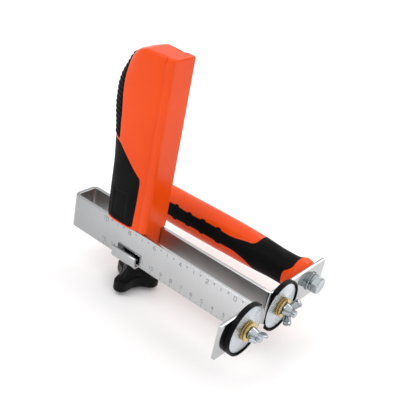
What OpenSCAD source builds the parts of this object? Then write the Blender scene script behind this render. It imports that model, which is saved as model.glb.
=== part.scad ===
/* [Frame] */
// Length of the legs, from the closed end to the flange faces
frame_len = 180; // [160:1:220]
// Height of the bent strip
strip_h = 28; // [24:1:32]
// Thickness of the bent strip
strip_t = 3; // [2.5:0.5:3.5]
// Overall width across the two legs
frame_w = 24; // [24:1:28]
// Reach of the front flange beyond the front leg
front_flange = 37; // [36:1:45]
// Reach of the rear flange beyond the rear leg
rear_flange = 72; // [70:1:80]

/* [Cutting wheels] */
// Diameter of each cutting blade
blade_d = 36; // [32:1:36]
// Thickness of each cutting blade
blade_t = 0.8; // [0.6:0.1:1]
// Distance from the middle of the throat to each wheel axle
axle_y = 21.5; // [21:0.5:22.5]
// Diameter of each blade guard
guard_d = 40.8; // [40:0.2:44]
// Distance from the axle to the guard's flat side
guard_flat = 12; // [11:0.5:13]
// Turn of the front wing nut about its axle
front_wing_turn = -13; // [-90:1:90]
// Turn of the rear wing nut about its axle
rear_wing_turn = 55; // [-90:1:90]

/* [Fence handle] */
// Distance from the closed end to the fence face
fence_x = 75.5; // [60:0.5:90]
// Height of the fence handle above the frame's middle plane
fence_top = 152.6; // [140:0.2:160]
// Width of the fence bar
fence_w = 24; // [22:1:24]

/* [Clamp] */
// Length of the clamp bracket along the legs
bracket_len = 24; // [20:1:28]
// Radius of the knob at its lobe tips
knob_r = 21; // [18:0.5:22]
// Turn of the knob about the clamp screw
knob_turn = 37; // [0:1:119]

/* [Rear handle] */
// Distance from the middle of the throat to the handle axis
handle_y = 68; // [66:1:70]
// Length of the rear handle
handle_len = 163; // [150:1:168]

/* [Hidden] */
$fn = 64;
hull_fn = 32;
fit_gap = 0.2;
run_gap = 0.05;

// Frame
gap_half = frame_w / 2 - strip_t;
leg_face = frame_w / 2;
flange_back = frame_len - strip_t;
end_r = 5;
bend_r = 1;
hole_r6 = 3.3;
hole_r8 = 4.3;

// Wheel stack along the axle, each value is a distance from the closed end
m6_r = 3;
guard_front = frame_len + 2.2;
guard_rim = guard_front + 1.8;
guard_rim_t = 1.4;
blade_back = guard_front + 0.3;
blade_front = blade_back + blade_t;
bush_back = blade_front + 0.3;
bush_front = bush_back + 3.5;
bush_sleeve_r = 4;
bush_rim_r = 7.5;
bush_groove_r = 6.3;
nut_back = bush_front + fit_gap;
nut_hub_len = 5.6;
nut_base_r = 4.9;
nut_nose_r = 3.9;
wing_span = 11.2;
wing_rise = 11;
wing_t = 1.9;
axle_end = bush_front + 9;
m6_head_af = 10;
m6_head_h = 4;

// Rear handle bolt
m8_r = 4;
m8_head_af = 13;
m8_head_h = 5.3;
flat_washer = [8, 1.6];
lock_washer = [6.8, 2];
insert_len = 28;
insert_r = 6.5;

// Clamp
clamp_x = fence_x - 13.2;
bracket_t = 2;
bracket_top = -strip_h / 2 - fit_gap;
bracket_bot = bracket_top - bracket_t;
tab_in = leg_face + 2;
tab_out = tab_in + bracket_t;
tab_top = -6.2;
hub_r = 7.2;
hub_top = bracket_bot - fit_gap;
knob_bot = -40;
lobe_h = 8;
lobe_r = 6;
screw_top = 6;
tongue_bot = -strip_h / 2 + 1.5;
tongue_half = gap_half - run_gap * 2;
tongue_back = fence_x - 30;
shoulder_z = strip_h / 2 + fit_gap;
clamp_insert_r = 6.2;

// Fence handle: back outline and half width against height
grip_mid = fence_x - 25.5;
grip_front = fence_x - 6.5;
grip_bow = 26;
grip_pow = 2 / 2.6;
bar_corner_r = 3.5;
back_edge = [[14, 33.6], [43, 32.6], [61, 32], [79, 30], [88, 28.8], [97, 26.7], [106, 25.4],
    [116, 25.3], [126, 27.2], [136, 31.7], [142, 34.6], [147, 38.5], [150, 43], [152.6, 48.6]];
half_width = [[14, 14.8], [100, 14.6], [130, 14], [142, 13.2], [148, 12.2], [151, 10.6], [152.6, 8.6]];
bar_round = [[14, 0], [148, 0], [151, 0.9], [152.6, 3]];
bar_rear = [[14, 13.2], [152.6, 12.3]];
panel_split = 79.5;
split_gap = 1.6;
cover_edge = [[14, 65], [53, 65], [60, 62.4], [panel_split, 40.6], [92, 39.2], [106, 38.4], [118, 36.8],
    [130, 36.8], [140, 38], [147.2, 41], [150, 45.2], [152.6, 49.2]];
skin_t = 2;
rib_out = 0.6;

// Rear handle: radius and drop of the middle line against distance along the legs
handle_end = flange_back - handle_len;
handle_rad = [[0, 6], [1.5, 9.4], [5, 12.6], [11, 14.3], [22, 14.9], [60, 15], [100, 14.7], [120, 13.9],
    [136, 12.9], [147, 12.8], [152, 13.4], [156, 15.2], [160, 15.6], [162, 15.2], [163, 14.4]];
handle_drop = [[0, 2.6], [50, 2.4], [100, 1.2], [163, 1.2]];
neck_from = 114;
neck_to = 151;
stripe_from = 12;
stripe_low = -6;
stripe_high = 31;

// A cylinder along +X from x0 to x1
module rod(x0, x1, r) {
    translate([x0, 0, 0]) rotate([0, 90, 0]) cylinder(h = x1 - x0, r = r);
}

// A hexagonal prism along +X from x0 to x1
module hex(x0, x1, across_flats) {
    corner_r = across_flats / 2 / cos(30);
    translate([x0, 0, 0]) rotate([0, 90, 0]) cylinder(h = x1 - x0, r = corner_r, $fn = 6);
}

// A closed skin through a list of rings that have equal numbers of points. A sheet's ring runs out along
// one side and back along the other, and its ends close from side to side.
module skin(rings, sheet = false) {
    n = len(rings[0]);
    last = (len(rings) - 1) * n;
    near = [for (k = [0:len(rings) - 2], i = [0:n - 1])
        [k * n + i, k * n + (i + 1) % n, (k + 1) * n + (i + 1) % n]];
    far = [for (k = [0:len(rings) - 2], i = [0:n - 1])
        [k * n + i, (k + 1) * n + (i + 1) % n, (k + 1) * n + i]];
    across = [for (i = [0:n / 2 - 2]) [i, i + 1, n - 2 - i, n - 1 - i]];
    ends = sheet ? across : [[for (i = [0:n - 1]) i]];
    low = [for (f = ends) [for (i = [len(f) - 1:-1:0]) f[i]]];
    high = [for (f = ends) [for (i = f) last + i]];
    polyhedron(points = [for (r = rings) each r], faces = concat(low, near, far, high));
}

function signed_pow(v, p) = sign(v) * pow(abs(v), p);

// ---- Frame ----

// Quarter ring of the strip, centred at the origin and lying in the +X +Y quarter
module bend(inner_r) {
    intersection() {
        difference() {
            circle(r = inner_r + strip_t);
            circle(r = inner_r);
        }
        square(inner_r + strip_t);
    }
}

// One leg with its closed corner, its flange bend and its flange, on the +Y side
module half_outline(reach) {
    flange_start = leg_face + bend_r;
    turn_x = flange_back - bend_r;
    square([strip_t, leg_face - end_r]);
    translate([end_r, leg_face - end_r]) rotate(90) bend(end_r - strip_t);
    translate([end_r, gap_half]) square([turn_x - end_r, strip_t]);
    translate([turn_x, flange_start]) rotate(-90) bend(bend_r);
    translate([flange_back, flange_start]) square([strip_t, leg_face + reach - flange_start]);
}

module frame_strip() {
    color("gainsboro") difference() {
        linear_extrude(height = strip_h, center = true) {
            half_outline(rear_flange);
            mirror([0, 1]) half_outline(front_flange);
        }
        for (side = [-1, 1]) {
            translate([0, side * axle_y, 0]) rod(flange_back - 1, frame_len + 1, hole_r6);
        }
        translate([0, handle_y, 0]) rod(flange_back - 1, frame_len + 1, hole_r8);
    }
}

// ---- Wheel stacks, drawn on an axle along +X through the origin ----

module axle_bolt() {
    color("silver") {
        hex(flange_back - m6_head_h, flange_back, m6_head_af);
        rod(flange_back, axle_end, m6_r);
    }
}

// A dish behind the blade, cut flat beside the throat. side is -1 where the throat lies towards -Y and
// 1 where it lies towards +Y.
module guard(side) {
    color([0.09, 0.09, 0.1]) difference() {
        rod(frame_len, guard_rim, guard_d / 2);
        rod(guard_front, guard_rim + 1, guard_d / 2 - guard_rim_t);
        rod(frame_len - 1, guard_front + 1, hole_r6);
        translate([frame_len - 1, side > 0 ? guard_flat : -guard_flat - guard_d, -guard_d])
            cube([guard_rim - frame_len + 2, guard_d, guard_d * 2]);
    }
}

module blade() {
    bevel = 2.4;
    edge_t = 0.15;
    color([0.8, 0.82, 0.84]) translate([blade_back, 0, 0]) rotate([0, 90, 0]) difference() {
        rotate_extrude() polygon([[0, 0], [blade_d / 2 - bevel, 0], [blade_d / 2, (blade_t - edge_t) / 2],
            [blade_d / 2, (blade_t + edge_t) / 2], [blade_d / 2 - bevel, blade_t], [0, blade_t]]);
        translate([0, 0, -1]) cylinder(h = blade_t + 2, r = bush_sleeve_r + run_gap);
    }
}

module bush() {
    rim_a = bush_back + 1.3;
    rim_b = bush_back + 1.9;
    color("goldenrod") difference() {
        union() {
            rod(guard_front, bush_back + 1, bush_sleeve_r);
            rod(bush_back, rim_a, bush_rim_r);
            rod(rim_a, rim_b, bush_groove_r);
            rod(rim_b, bush_front, bush_rim_r);
        }
        rod(guard_front - 1, bush_front + 1, m6_r);
    }
}

// Two wings sweep forward from a conical hub
module wing_nut(turn) {
    hub_end = nut_back + nut_hub_len;
    color("silver") rotate([turn, 0, 0]) difference() {
        union() {
            translate([nut_back, 0, 0]) rotate([0, 90, 0])
                cylinder(h = nut_hub_len, r1 = nut_base_r, r2 = nut_nose_r);
            for (side = [-1, 1]) hull() {
                translate([nut_back + 2.2, side * 3, 0]) rotate([90, 0, 0])
                    cylinder(h = 0.8, r = 2, center = true, $fn = hull_fn);
                translate([nut_back + wing_rise - 3, side * (wing_span - 2.6), -wing_t / 2])
                    cylinder(h = wing_t, r = 2.6, $fn = hull_fn);
            }
        }
        rod(nut_back - 1, hub_end + 8, m6_r + run_gap);
    }
}

module front_axle_bolt() { translate([0, -axle_y, 0]) axle_bolt(); }
module rear_axle_bolt() { translate([0, axle_y, 0]) axle_bolt(); }
module front_guard() { translate([0, -axle_y, 0]) guard(1); }
module rear_guard() { translate([0, axle_y, 0]) guard(-1); }
module front_blade() { translate([0, -axle_y, 0]) blade(); }
module rear_blade() { translate([0, axle_y, 0]) blade(); }
module front_bush() { translate([0, -axle_y, 0]) bush(); }
module rear_bush() { translate([0, axle_y, 0]) bush(); }
module front_wing_nut() { translate([0, -axle_y, 0]) wing_nut(front_wing_turn); }
module rear_wing_nut() { translate([0, axle_y, 0]) wing_nut(rear_wing_turn); }

// ---- Rear handle ----

// Point on the handle's surface; a is the angle from -Y towards +Z and d the distance from its free end
function handle_pt(a, d, depth) =
    let (r = lookup(d, handle_rad) - depth)
    [handle_end + d, handle_y - r * cos(a), r * sin(a) - lookup(d, handle_drop)];

function arc_steps(a, b, n) = [for (i = [0:n]) a + (b - a) * i / n];
handle_stations = [0, 1.5, 5, 11, 12, 12.4, 22, 42, 60, 80, 100, 113.5, 114, 120, 128, 136, 147, 150.4,
    150.9, 151, 152, 156, 160, 162, 163];

stripe_arcs = [[stripe_low, stripe_high, 4], [stripe_high, 180 - stripe_high, 10],
    [180 - stripe_high, 180 - stripe_low, 4], [180 - stripe_low, 360 + stripe_low, 14]];

// Ring with one depth along the side stripes and another elsewhere
function handle_ring(d, side_depth, bare_depth) = [for (k = [0:3], i = [0:stripe_arcs[k][2]])
    let (arc = stripe_arcs[k])
    handle_pt(arc[0] + (arc[1] - arc[0]) * i / arc[2], d, k % 2 == 0 ? side_depth : bare_depth)];

// Ring of the orange core, sunk under the side stripes and the neck sleeve; bare is the depth elsewhere
function core_ring(d, bare) =
    d >= neck_from && d < neck_to ? handle_ring(d, skin_t, skin_t)
    : d >= stripe_from && d < neck_from ? handle_ring(d, skin_t, bare)
    : handle_ring(d, bare, bare);

module rear_handle_core() {
    color([0.95, 0.33, 0.15]) difference() {
        skin([for (d = handle_stations) core_ring(d, 0)]);
        translate([0, handle_y, 0]) rod(flange_back - insert_len, flange_back + 1, insert_r);
    }
}

// Neck sleeve with a stripe along each side: the handle's outer shape less a fuller copy of its core
module rear_handle_grip() {
    color([0.09, 0.09, 0.09]) difference() {
        skin([for (d = handle_stations) if (d > stripe_from && d < neck_to - 0.5) handle_ring(d, 0, 0)]);
        skin([for (d = handle_stations) if (d >= stripe_from && d < neck_to) core_ring(d, -1)]);
    }
}

module rear_handle_insert() {
    color("goldenrod") translate([0, handle_y, 0]) difference() {
        rod(flange_back - insert_len, flange_back, insert_r);
        rod(flange_back - insert_len + 3, flange_back + 1, m8_r);
    }
}

module handle_bolt() {
    head_back = frame_len + flat_washer[1] + lock_washer[1];
    color("silver") translate([0, handle_y, 0]) {
        rod(flange_back - insert_len + 4, head_back, m8_r);
        intersection() {
            hex(head_back, head_back + m8_head_h, m8_head_af);
            translate([head_back, 0, 0]) rotate([0, 90, 0])
                cylinder(h = m8_head_h + 3.4, r1 = m8_head_af / 2 + 4.6, r2 = 0);
        }
    }
}

module washer(x0, size) {
    translate([0, handle_y, 0]) difference() {
        rod(x0, x0 + size[1], size[0]);
        rod(x0 - 1, x0 + size[1] + 1, m8_r + run_gap);
    }
}

// The lock washer is split, so it has a slit from bore to rim
module handle_lock_washer() {
    color("silver") difference() {
        washer(frame_len + flat_washer[1], lock_washer);
        translate([frame_len, handle_y - lock_washer[0] - 1, -0.5])
            rotate([-8, 0, 0]) cube([8, lock_washer[0], 1]);
    }
}

module handle_flat_washer() { color("silver") washer(frame_len, flat_washer); }

// ---- Fence handle ----

// Point on the grip's surface at height z; u runs from 0 at the back edge to +-90 at the widest place
// and on towards the fence bar
function grip_pt(u, z, depth) =
    let (reach = abs(u) > 90 ? grip_bow : grip_mid - lookup(z, back_edge),
         half = lookup(z, half_width))
    [grip_mid - (reach - depth) * signed_pow(cos(u), grip_pow),
        (half - depth) * signed_pow(sin(u), grip_pow), z];

// Value of u at which the grip reaches distance x
function u_at_x(x, z) =
    let (reach = x > grip_mid ? grip_bow : grip_mid - lookup(z, back_edge))
    acos(signed_pow((grip_mid - x) / reach, 1 / grip_pow));
function cover_u(z) = u_at_x(lookup(z, cover_edge), z);

// The fence bar's corners, from the rear side round to the front side
function bar_pts(z) =
    let (inset = lookup(z, bar_round),
         h = fence_w / 2 - inset,
         rear = lookup(z, bar_rear) - inset,
         x = fence_x - inset * 0.6,
         r = bar_corner_r)
    concat([[grip_front + 0.5, rear, z], [x, rear, z]],
        [for (a = [0:22.5:90]) [x - r + r * cos(a), r - h - r * sin(a), z]]);

fence_low = [shoulder_z, 24, 34, 45, 53, 60, 70, panel_split - 0.01];
fence_high = [panel_split, 84, 92, 99, 106, 112, 118, 124, 130, 135, 140, 144, 147.2];
fence_cap = [147.21, 149, 150.6, 151.8, fence_top];

// Ring of the orange handle, sunk where the two black covers lie
function fence_ring(z) =
    let (u_cover = cover_u(z),
         u_last = u_at_x(grip_front, z),
         depth = z < 147.205 ? skin_t : 0)
    concat([for (u = arc_steps(-u_last, -u_cover, 8)) grip_pt(u, z, 0)],
        [for (u = arc_steps(-u_cover, u_cover, 16)) grip_pt(u, z, depth)],
        [for (u = arc_steps(u_cover, u_last, 8)) grip_pt(u, z, 0)],
        bar_pts(z));

function cover_ring(z, out) =
    let (u_cover = cover_u(z))
    concat([for (u = arc_steps(-u_cover, u_cover, 16)) grip_pt(u, z, -out)],
        [for (u = arc_steps(u_cover, -u_cover, 16)) grip_pt(u, z, skin_t)]);

module fence_handle() {
    color([0.95, 0.33, 0.15]) difference() {
        union() {
            skin([for (z = concat(fence_low, fence_high, fence_cap)) fence_ring(z)]);
            translate([tongue_back, -tongue_half, tongue_bot])
                cube([fence_x - tongue_back, tongue_half * 2, shoulder_z - tongue_bot + 4]);
        }
        translate([clamp_x, 0, tongue_bot - 1]) cylinder(h = screw_top + 2 - tongue_bot, r = clamp_insert_r);
    }
}

module fence_panel() {
    color([0.09, 0.09, 0.09])
        skin([for (z = fence_low) cover_ring(min(z, panel_split - split_gap), 0)], sheet = true);
}

module fence_rib_strip() {
    color([0.09, 0.09, 0.09])
        skin([for (z = fence_high) cover_ring(z, z > panel_split && z < 147 ? rib_out : 0)], sheet = true);
}

// ---- Clamp ----

module clamp_insert() {
    color("goldenrod") translate([clamp_x, 0, 0]) difference() {
        translate([0, 0, tongue_bot]) cylinder(h = screw_top + 1 - tongue_bot, r = clamp_insert_r);
        translate([0, 0, tongue_bot - 1]) cylinder(h = screw_top + 3 - tongue_bot, r = m8_r + run_gap);
    }
}

// U-shaped plate: a floor below the legs and a tab up each outer side
module clamp_bracket() {
    corner = 3;
    floor_half = tab_out - corner;
    color("gainsboro") translate([clamp_x - bracket_len / 2, 0, 0]) difference() {
        union() {
            translate([0, -floor_half, bracket_bot]) cube([bracket_len, floor_half * 2, bracket_t]);
            for (side = [-1, 1]) {
                translate([0, side > 0 ? tab_in : -tab_out, bracket_bot + corner])
                    cube([bracket_len, bracket_t, tab_top - bracket_bot - corner]);
                translate([0, side * floor_half, bracket_bot + corner]) rotate([0, 90, 0])
                    linear_extrude(height = bracket_len) intersection() {
                        difference() {
                            circle(r = corner);
                            circle(r = corner - bracket_t);
                        }
                        translate([0, side > 0 ? 0 : -corner]) square(corner);
                    }
            }
        }
        translate([bracket_len / 2, 0, bracket_bot - 1]) cylinder(h = bracket_t + 2, r = hole_r8);
    }
}

module clamp_screw() {
    color("silver") translate([clamp_x, 0, knob_bot + 4]) cylinder(h = screw_top - knob_bot - 4, r = m8_r);
}

// Three lobes around a hub
module clamp_knob() {
    tip_x = knob_r - lobe_r;
    color([0.08, 0.08, 0.08]) translate([clamp_x, 0, knob_bot]) difference() {
        union() {
            cylinder(h = hub_top - knob_bot, r = hub_r);
            cylinder(h = lobe_h + 3, r = hub_r + 2.4);
            rotate(knob_turn) linear_extrude(height = lobe_h) for (k = [0:2]) rotate(120 * k) {
                translate([tip_x, 0]) circle(r = lobe_r);
                translate([0, -lobe_r]) square([tip_x, lobe_r * 2]);
            }
        }
        translate([0, 0, 4]) cylinder(h = hub_top - knob_bot, r = m8_r);
    }
}

frame_strip();
front_axle_bolt();
rear_axle_bolt();
front_guard();
rear_guard();
front_blade();
rear_blade();
front_bush();
rear_bush();
front_wing_nut();
rear_wing_nut();
rear_handle_core();
rear_handle_grip();
rear_handle_insert();
handle_bolt();
handle_lock_washer();
handle_flat_washer();
fence_handle();
fence_panel();
fence_rib_strip();
clamp_insert();
clamp_bracket();
clamp_screw();
clamp_knob();
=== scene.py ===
import bmesh
import bpy
import math
import numpy as np
from mathutils import Matrix, Vector


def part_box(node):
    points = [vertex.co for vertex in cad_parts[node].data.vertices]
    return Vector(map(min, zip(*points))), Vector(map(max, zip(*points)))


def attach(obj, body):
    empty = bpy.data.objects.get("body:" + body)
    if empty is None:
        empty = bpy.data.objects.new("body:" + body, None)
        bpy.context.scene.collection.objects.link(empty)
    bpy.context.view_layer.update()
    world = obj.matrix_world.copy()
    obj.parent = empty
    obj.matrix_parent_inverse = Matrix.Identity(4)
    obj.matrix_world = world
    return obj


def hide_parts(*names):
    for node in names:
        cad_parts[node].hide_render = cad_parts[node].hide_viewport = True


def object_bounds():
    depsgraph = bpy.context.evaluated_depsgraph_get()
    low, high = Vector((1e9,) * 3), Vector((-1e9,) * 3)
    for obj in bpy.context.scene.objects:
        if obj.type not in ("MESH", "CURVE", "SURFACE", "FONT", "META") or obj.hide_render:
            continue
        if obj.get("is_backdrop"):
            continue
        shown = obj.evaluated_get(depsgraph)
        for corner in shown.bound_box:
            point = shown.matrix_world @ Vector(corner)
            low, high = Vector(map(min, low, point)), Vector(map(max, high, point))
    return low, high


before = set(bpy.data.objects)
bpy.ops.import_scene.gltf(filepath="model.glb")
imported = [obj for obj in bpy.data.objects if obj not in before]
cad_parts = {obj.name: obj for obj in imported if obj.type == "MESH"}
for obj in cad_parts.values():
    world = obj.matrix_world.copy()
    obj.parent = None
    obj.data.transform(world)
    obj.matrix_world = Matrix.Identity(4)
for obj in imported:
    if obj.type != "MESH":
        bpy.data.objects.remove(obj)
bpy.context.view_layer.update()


def box(node):
    """Lowest and highest corner of a CAD node, in millimetres."""
    lo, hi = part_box(node)
    return np.array(lo) * 1000, np.array(hi) * 1000


# ---------------------------------------------------------------- materials

def material(name, color, metallic=0.0, rough=0.4, spec=0.5, ior=1.5, coat=0.0):
    """A Principled material. Returns (material, nodes, links, shader)."""
    mat = bpy.data.materials.new(name)
    mat.use_nodes = True
    nodes = mat.node_tree.nodes
    shader = nodes["Principled BSDF"]
    shader.inputs["Base Color"].default_value = (*color, 1)
    shader.inputs["Metallic"].default_value = metallic
    shader.inputs["Roughness"].default_value = rough
    shader.inputs["Specular IOR Level"].default_value = spec
    shader.inputs["IOR"].default_value = ior
    shader.inputs["Coat Weight"].default_value = coat
    return mat, nodes, mat.node_tree.links, shader


def coords(nodes, links, scale, rotate=(0, 0, 0)):
    """Object coordinates stretched by scale, so grain can run along one axis."""
    where = nodes.new("ShaderNodeTexCoord")
    mapping = nodes.new("ShaderNodeMapping")
    mapping.inputs["Scale"].default_value = scale
    mapping.inputs["Rotation"].default_value = rotate
    links.new(where.outputs["Object"], mapping.inputs["Vector"])
    return mapping.outputs["Vector"]


def noise(nodes, links, vector, scale, detail=3.0, rough=0.55):
    tex = nodes.new("ShaderNodeTexNoise")
    tex.inputs["Scale"].default_value = scale
    tex.inputs["Detail"].default_value = detail
    tex.inputs["Roughness"].default_value = rough
    links.new(vector, tex.inputs["Vector"])
    return tex.outputs["Fac"]


def span(nodes, links, value, lo, hi, from_lo=0.3, from_hi=0.7):
    """Maps a 0 to 1 value onto lo to hi."""
    ranged = nodes.new("ShaderNodeMapRange")
    ranged.inputs["From Min"].default_value = from_lo
    ranged.inputs["From Max"].default_value = from_hi
    ranged.inputs["To Min"].default_value = lo
    ranged.inputs["To Max"].default_value = hi
    links.new(value, ranged.inputs["Value"])
    return ranged.outputs["Result"]


def two_colors(nodes, links, value, a, b, from_lo=0.35, from_hi=0.65):
    ramp = nodes.new("ShaderNodeValToRGB")
    ramp.color_ramp.elements[0].position = from_lo
    ramp.color_ramp.elements[0].color = (*a, 1)
    ramp.color_ramp.elements[1].position = from_hi
    ramp.color_ramp.elements[1].color = (*b, 1)
    links.new(value, ramp.inputs["Fac"])
    return ramp.outputs["Color"]


def bump(nodes, links, shader, heights):
    """Chains bumps: heights is a list of (value, strength, distance in metres)."""
    last = None
    for value, strength, distance in heights:
        node = nodes.new("ShaderNodeBump")
        node.inputs["Strength"].default_value = strength
        node.inputs["Distance"].default_value = distance
        links.new(value, node.inputs["Height"])
        if last is not None:
            links.new(last, node.inputs["Normal"])
        last = node.outputs["Normal"]
    links.new(last, shader.inputs["Normal"])


def make_orange():
    """Glossy orange moulding with faint smears."""
    mat, n, l, s = material("orange_plastic", (0.78, 0.066, 0.003), rough=0.2, spec=0.2)
    v = coords(n, l, (1, 1, 1))
    tone = noise(n, l, v, 22, 2)
    l.new(two_colors(n, l, tone, (0.76, 0.062, 0.0025), (0.81, 0.07, 0.0035)), s.inputs["Base Color"])
    smear = noise(n, l, v, 60, 4)
    l.new(span(n, l, smear, 0.14, 0.24), s.inputs["Roughness"])
    bump(n, l, s, [(noise(n, l, v, 2600, 2), 0.04, 0.0002), (noise(n, l, v, 70, 2), 0.04, 0.0006)])
    return mat


def make_rubber(name, base, rough_lo, rough_hi, grain, spec=0.05):
    """Dull black cover or paint with a fine grain."""
    mat, n, l, s = material(name, base, rough=0.5, spec=spec)
    v = coords(n, l, (1, 1, 1))
    tone = noise(n, l, v, 35, 3)
    lighter = tuple(c * 1.5 for c in base)
    l.new(two_colors(n, l, tone, base, lighter), s.inputs["Base Color"])
    l.new(span(n, l, noise(n, l, v, 90, 4), rough_lo, rough_hi), s.inputs["Roughness"])
    bump(n, l, s, [(noise(n, l, v, grain, 3), 0.22, 0.0002), (noise(n, l, v, 120, 2), 0.08, 0.0004)])
    return mat


def make_metal(name, color, rough_lo, rough_hi, stretch=(1, 1, 1), brush=0.05, tint=0.94, ripple=0.04, painted_shade=()):
    """Metal with a grain stretched along one axis. painted_shade lists (mm along X, share of the colour): painted
    shade, a ramp that darkens the colour along X.
    """
    mat, n, l, s = material(name, color, metallic=1.0, rough=rough_lo)
    v = coords(n, l, (1, 1, 1))
    streaked = coords(n, l, stretch)
    tone = noise(n, l, v, 45, 4)
    shade = two_colors(n, l, tone, tuple(c * tint for c in color), color)
    # Painted shade: the colour is multiplied by a ramp of shares along X.
    if painted_shade:
        split = n.new("ShaderNodeSeparateXYZ")
        l.new(v, split.inputs["Vector"])
        ramp = n.new("ShaderNodeValToRGB")
        stops = ramp.color_ramp.elements
        while len(stops) < len(painted_shade):
            stops.new(0.5)
        for stop, (at, share) in zip(stops, painted_shade):
            stop.position = at / 180
            stop.color = (share, share, share, 1)
        l.new(span(n, l, split.outputs["X"], 0, 1, 0, 0.18), ramp.inputs["Fac"])
        both = n.new("ShaderNodeVectorMath")
        both.operation = "MULTIPLY"
        l.new(shade, both.inputs[0])
        l.new(ramp.outputs["Color"], both.inputs[1])
        shade = both.outputs["Vector"]
    l.new(shade, s.inputs["Base Color"])
    l.new(span(n, l, noise(n, l, streaked, 160, 4), rough_lo, rough_hi), s.inputs["Roughness"])
    bump(n, l, s, [(noise(n, l, streaked, 900, 3), brush, 0.0001), (noise(n, l, v, 40, 2), ripple, 0.0008)])
    return mat


def make_turned(name, color, rough_lo, rough_hi, centre, pitch, strength):
    """Metal with fine turning rings about an axle along X."""
    mat, n, l, s = material(name, color, metallic=1.0, rough=rough_lo)
    where = n.new("ShaderNodeTexCoord")
    shift = n.new("ShaderNodeVectorMath")
    shift.operation = "SUBTRACT"
    shift.inputs[1].default_value = centre
    l.new(where.outputs["Object"], shift.inputs[0])
    flat = n.new("ShaderNodeVectorMath")
    flat.operation = "MULTIPLY"
    flat.inputs[1].default_value = (0, 1, 1)
    l.new(shift.outputs["Vector"], flat.inputs[0])
    length = n.new("ShaderNodeVectorMath")
    length.operation = "LENGTH"
    l.new(flat.outputs["Vector"], length.inputs[0])
    turns = n.new("ShaderNodeMath")
    turns.operation = "MULTIPLY"
    turns.inputs[1].default_value = 2 * math.pi / pitch
    l.new(length.outputs["Value"], turns.inputs[0])
    wave = n.new("ShaderNodeMath")
    wave.operation = "SINE"
    l.new(turns.outputs["Value"], wave.inputs[0])
    v = coords(n, l, (1, 1, 1))
    tone = noise(n, l, v, 80, 4)
    l.new(two_colors(n, l, tone, tuple(c * 0.9 for c in color), color), s.inputs["Base Color"])
    l.new(span(n, l, noise(n, l, v, 220, 3), rough_lo, rough_hi), s.inputs["Roughness"])
    bump(n, l, s, [(wave.outputs["Value"], strength, 0.00004), (noise(n, l, v, 60, 2), 0.04, 0.0005)])
    return mat


# ---------------------------------------------------------------- mesh helpers

def piece(name, verts, faces, mats, body, nodes=(), angle=35, face_mats=None):
    """Makes one object from millimetre vertices, shades it and hangs it on its body."""
    mesh = bpy.data.meshes.new(name)
    mesh.from_pydata((np.asarray(verts, float) / 1000).tolist(), [], [tuple(map(int, f)) for f in faces])
    mesh.validate()
    bm = bmesh.new()
    bm.from_mesh(mesh)
    bmesh.ops.recalc_face_normals(bm, faces=bm.faces)
    bm.to_mesh(mesh)
    bm.free()
    for m in mats if isinstance(mats, (list, tuple)) else [mats]:
        mesh.materials.append(m)
    if face_mats is not None:
        mesh.polygons.foreach_set("material_index", np.asarray(face_mats, np.int32))
    mesh.polygons.foreach_set("use_smooth", np.ones(len(mesh.polygons), bool))
    mesh.set_sharp_from_angle(angle=math.radians(angle))
    mesh.update()
    obj = bpy.data.objects.new(name, mesh)
    bpy.context.scene.collection.objects.link(obj)
    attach(obj, body)
    if nodes:
        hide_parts(*nodes)
    return obj


def grid_faces(rows, cols, wrap=True, start=0, flip=False):
    """Quads over rows x cols points; wrap joins the last column to the first."""
    out = []
    for r in range(rows - 1):
        for c in range(cols if wrap else cols - 1):
            d = (c + 1) % cols
            q = [start + r * cols + c, start + r * cols + d, start + (r + 1) * cols + d, start + (r + 1) * cols + c]
            out.append(q[::-1] if flip else q)
    return out


def loft(rings, cap_start=True, cap_end=True, start=0):
    """Joins rings of equal length (each n x 3). Ends close with a fan to their middle."""
    rings = [np.asarray(r, float) for r in rings]
    n = len(rings[0])
    verts = list(np.concatenate(rings))
    faces = grid_faces(len(rings), n, True, start)
    if cap_start:
        verts.append(rings[0].mean(0))
        c = start + len(verts) - 1
        faces += [[c, start + (i + 1) % n, start + i] for i in range(n)]
    if cap_end:
        verts.append(rings[-1].mean(0))
        c = start + len(verts) - 1
        base = start + (len(rings) - 1) * n
        faces += [[c, base + i, base + (i + 1) % n] for i in range(n)]
    return verts, faces


def join(parts):
    """Joins [(verts, faces), ...] into one."""
    verts, faces = [], []
    for v, f in parts:
        k = len(verts)
        verts += list(v)
        faces += [[i + k for i in q] for q in f]
    return verts, faces


def lathe_x(profile, yc, zc, n=96, wobble=None):
    """Turns (x, r) pairs about an axle along +X at (yc, zc). wobble(angle, index) scales r."""
    a = np.arange(n) * 2 * math.pi / n
    rings = []
    for i, (x, r) in enumerate(profile):
        rr = r * (np.ones(n) if wobble is None else wobble(a, i))
        rings.append(np.stack([np.full(n, x), yc + rr * np.cos(a), zc + rr * np.sin(a)], 1))
    return rings


def closed_lathe(profile, yc, zc, n=96, wobble=None):
    """A ring-shaped solid: the profile is a closed loop of (x, r)."""
    rings = lathe_x(profile, yc, zc, n, wobble)
    rings.append(rings[0])
    return loft(rings, False, False)


def smoothstep(x, a, b):
    """Eases from 0 at a to 1 at b."""
    t = np.clip((x - a) / (b - a), 0, 1)
    return t * t * (3 - 2 * t)


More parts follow.
